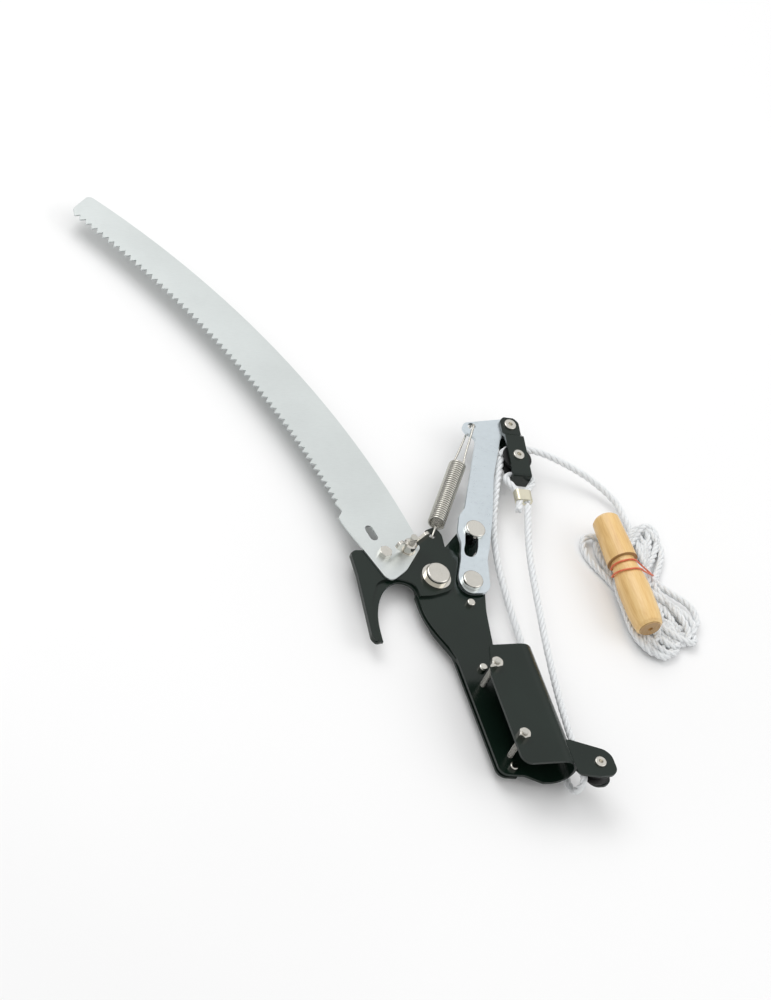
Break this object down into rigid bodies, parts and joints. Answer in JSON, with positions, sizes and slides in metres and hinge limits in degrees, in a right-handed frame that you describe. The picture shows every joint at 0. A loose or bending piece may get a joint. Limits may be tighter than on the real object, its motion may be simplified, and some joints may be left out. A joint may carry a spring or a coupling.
{
  "type": "pole pruner and saw head",
  "caption": "Pole-mounted tree pruner head: hooked plates with a roped lever and swinging blade, a curved saw blade, a clamp socket for a pole, and a wooden pull handle.",
  "frame": {"origin": "on the pole axis at the mouth of the clamp socket", "axes": "+Y along the pole axis towards the saw; +X towards the lever and rope; +Z square to the flat plates, towards the side with the bolt heads"},
  "size_m": [0.3687, 0.5075, 0.0395],
  "materials": {
    "black_enamel": "glossy black enamel",
    "saw_steel": "satin ground steel",
    "zinc_plate": "bluish bright zinc",
    "bright_steel": "polished nickel",
    "wheel_plastic": "black nylon",
    "ferrule": "dull cream metal",
    "rope": "laid white nylon",
    "wood": "varnished turned beech",
    "band": "red elastic"
  },
  "bodies": {
    "head": {"body_front_plate": "black_enamel", "body_back_plate": "black_enamel", "hook_plate": "black_enamel", "plate_spacers": "bright_steel", "plate_rivets": "bright_steel", "clamp_bolts": "bright_steel", "clamp_nuts": "bright_steel", "saw_blade": "saw_steel", "saw_bolt": "bright_steel", "wing_bolt": "bright_steel", "wing_washer": "bright_steel", "blade_pivot_bolt": "bright_steel", "blade_pivot_washer": "bright_steel", "blade_pivot_nut": "bright_steel", "arm_pivot_bolt": "bright_steel", "arm_spacer_washer": "bright_steel", "arm_pivot_nut": "bright_steel", "lower_bracket_front": "black_enamel", "lower_bracket_back": "black_enamel", "lower_axle": "bright_steel"},
    "lever": {"lever_arm": "zinc_plate", "block_rivet": "bright_steel"},
    "cutter": {"pruning_blade": "black_enamel", "drive_pin": "bright_steel"},
    "block": {"pulley_strap": "black_enamel", "upper_axle": "bright_steel", "rope_eye": "rope", "rope_crimp": "ferrule", "rope_lead": "rope", "rope_hank": "rope", "rubber_band": "band", "pull_handle": "wood"},
    "upper_wheel": {"upper_sheave": "wheel_plastic"},
    "lower_wheel": {"lower_sheave": "wheel_plastic"},
    "fall": {"rope_fall": "rope"},
    "spring": {"return_spring": "bright_steel"},
    "link": {"spring_link": "bright_steel"},
    "wing": {"wing_nut": "bright_steel"}
  },
  "joints": [
    {"name": "lever_swing", "type": "hinge", "parent": "head", "child": "lever", "pos_m": [-0.0052, 0.157, -0.0074], "axis": [0, 0, -1], "range_deg": [0, 74.6], "stiffness_Nm_per_rad": 0.6, "springref_deg": -20.05},
    {"name": "cutter_swing", "type": "hinge", "parent": "head", "child": "cutter", "pos_m": [-0.0295, 0.163, -0.01305], "axis": [0, 0, -1], "range_deg": [0, 50]},
    {"name": "block_swivel", "type": "hinge", "parent": "lever", "child": "block", "pos_m": [0.0675, 0.284, -0.00215], "axis": [0, 0, -1], "range_deg": [-40.15, 0]},
    {"name": "upper_wheel_spin", "type": "hinge", "parent": "block", "child": "upper_wheel", "pos_m": [0.06261, 0.25541, -0.00215], "axis": [0, 0, 1], "continuous": true},
    {"name": "lower_wheel_spin", "type": "hinge", "parent": "head", "child": "lower_wheel", "pos_m": [0.0265, -0.001, 0.0039], "axis": [0, 0, 1], "continuous": true},
    {"name": "fall_follow", "type": "hinge", "parent": "head", "child": "fall", "pos_m": [-0.16101, 0.09115, -0.00215], "axis": [0, 0, -1], "range_deg": [0, 34.55], "deforming": ["rope_fall"]},
    {"name": "spring_turn", "type": "hinge", "parent": "head", "child": "spring", "pos_m": [-0.0189, 0.1991, -0.0089], "axis": [0, 0, -1], "range_deg": [0, 74.92], "deforming": ["return_spring"]},
    {"name": "spring_stretch", "type": "slide", "parent": "spring", "child": "link", "axis": [0.5576, 0.8301, 0], "range_m": [0, 0.05375], "deforming": ["spring_link"]},
    {"name": "wing_spin", "type": "hinge", "parent": "head", "child": "wing", "pos_m": [-0.0438, 0.1854, -0.00435], "axis": [0, 0, 1], "continuous": true}
  ],
  "couplings": [
    {"joint": "cutter_swing", "follows": "lever_swing", "ratio": 0.67},
    {"joint": "block_swivel", "follows": "lever_swing", "ratio": -0.53749},
    {"joint": "fall_follow", "follows": "lever_swing", "ratio": 0.46251},
    {"joint": "spring_turn", "follows": "lever_swing", "ratio": 1.0036},
    {"joint": "spring_stretch", "follows": "lever_swing", "m_per_rad": 0.041209}
  ]
}
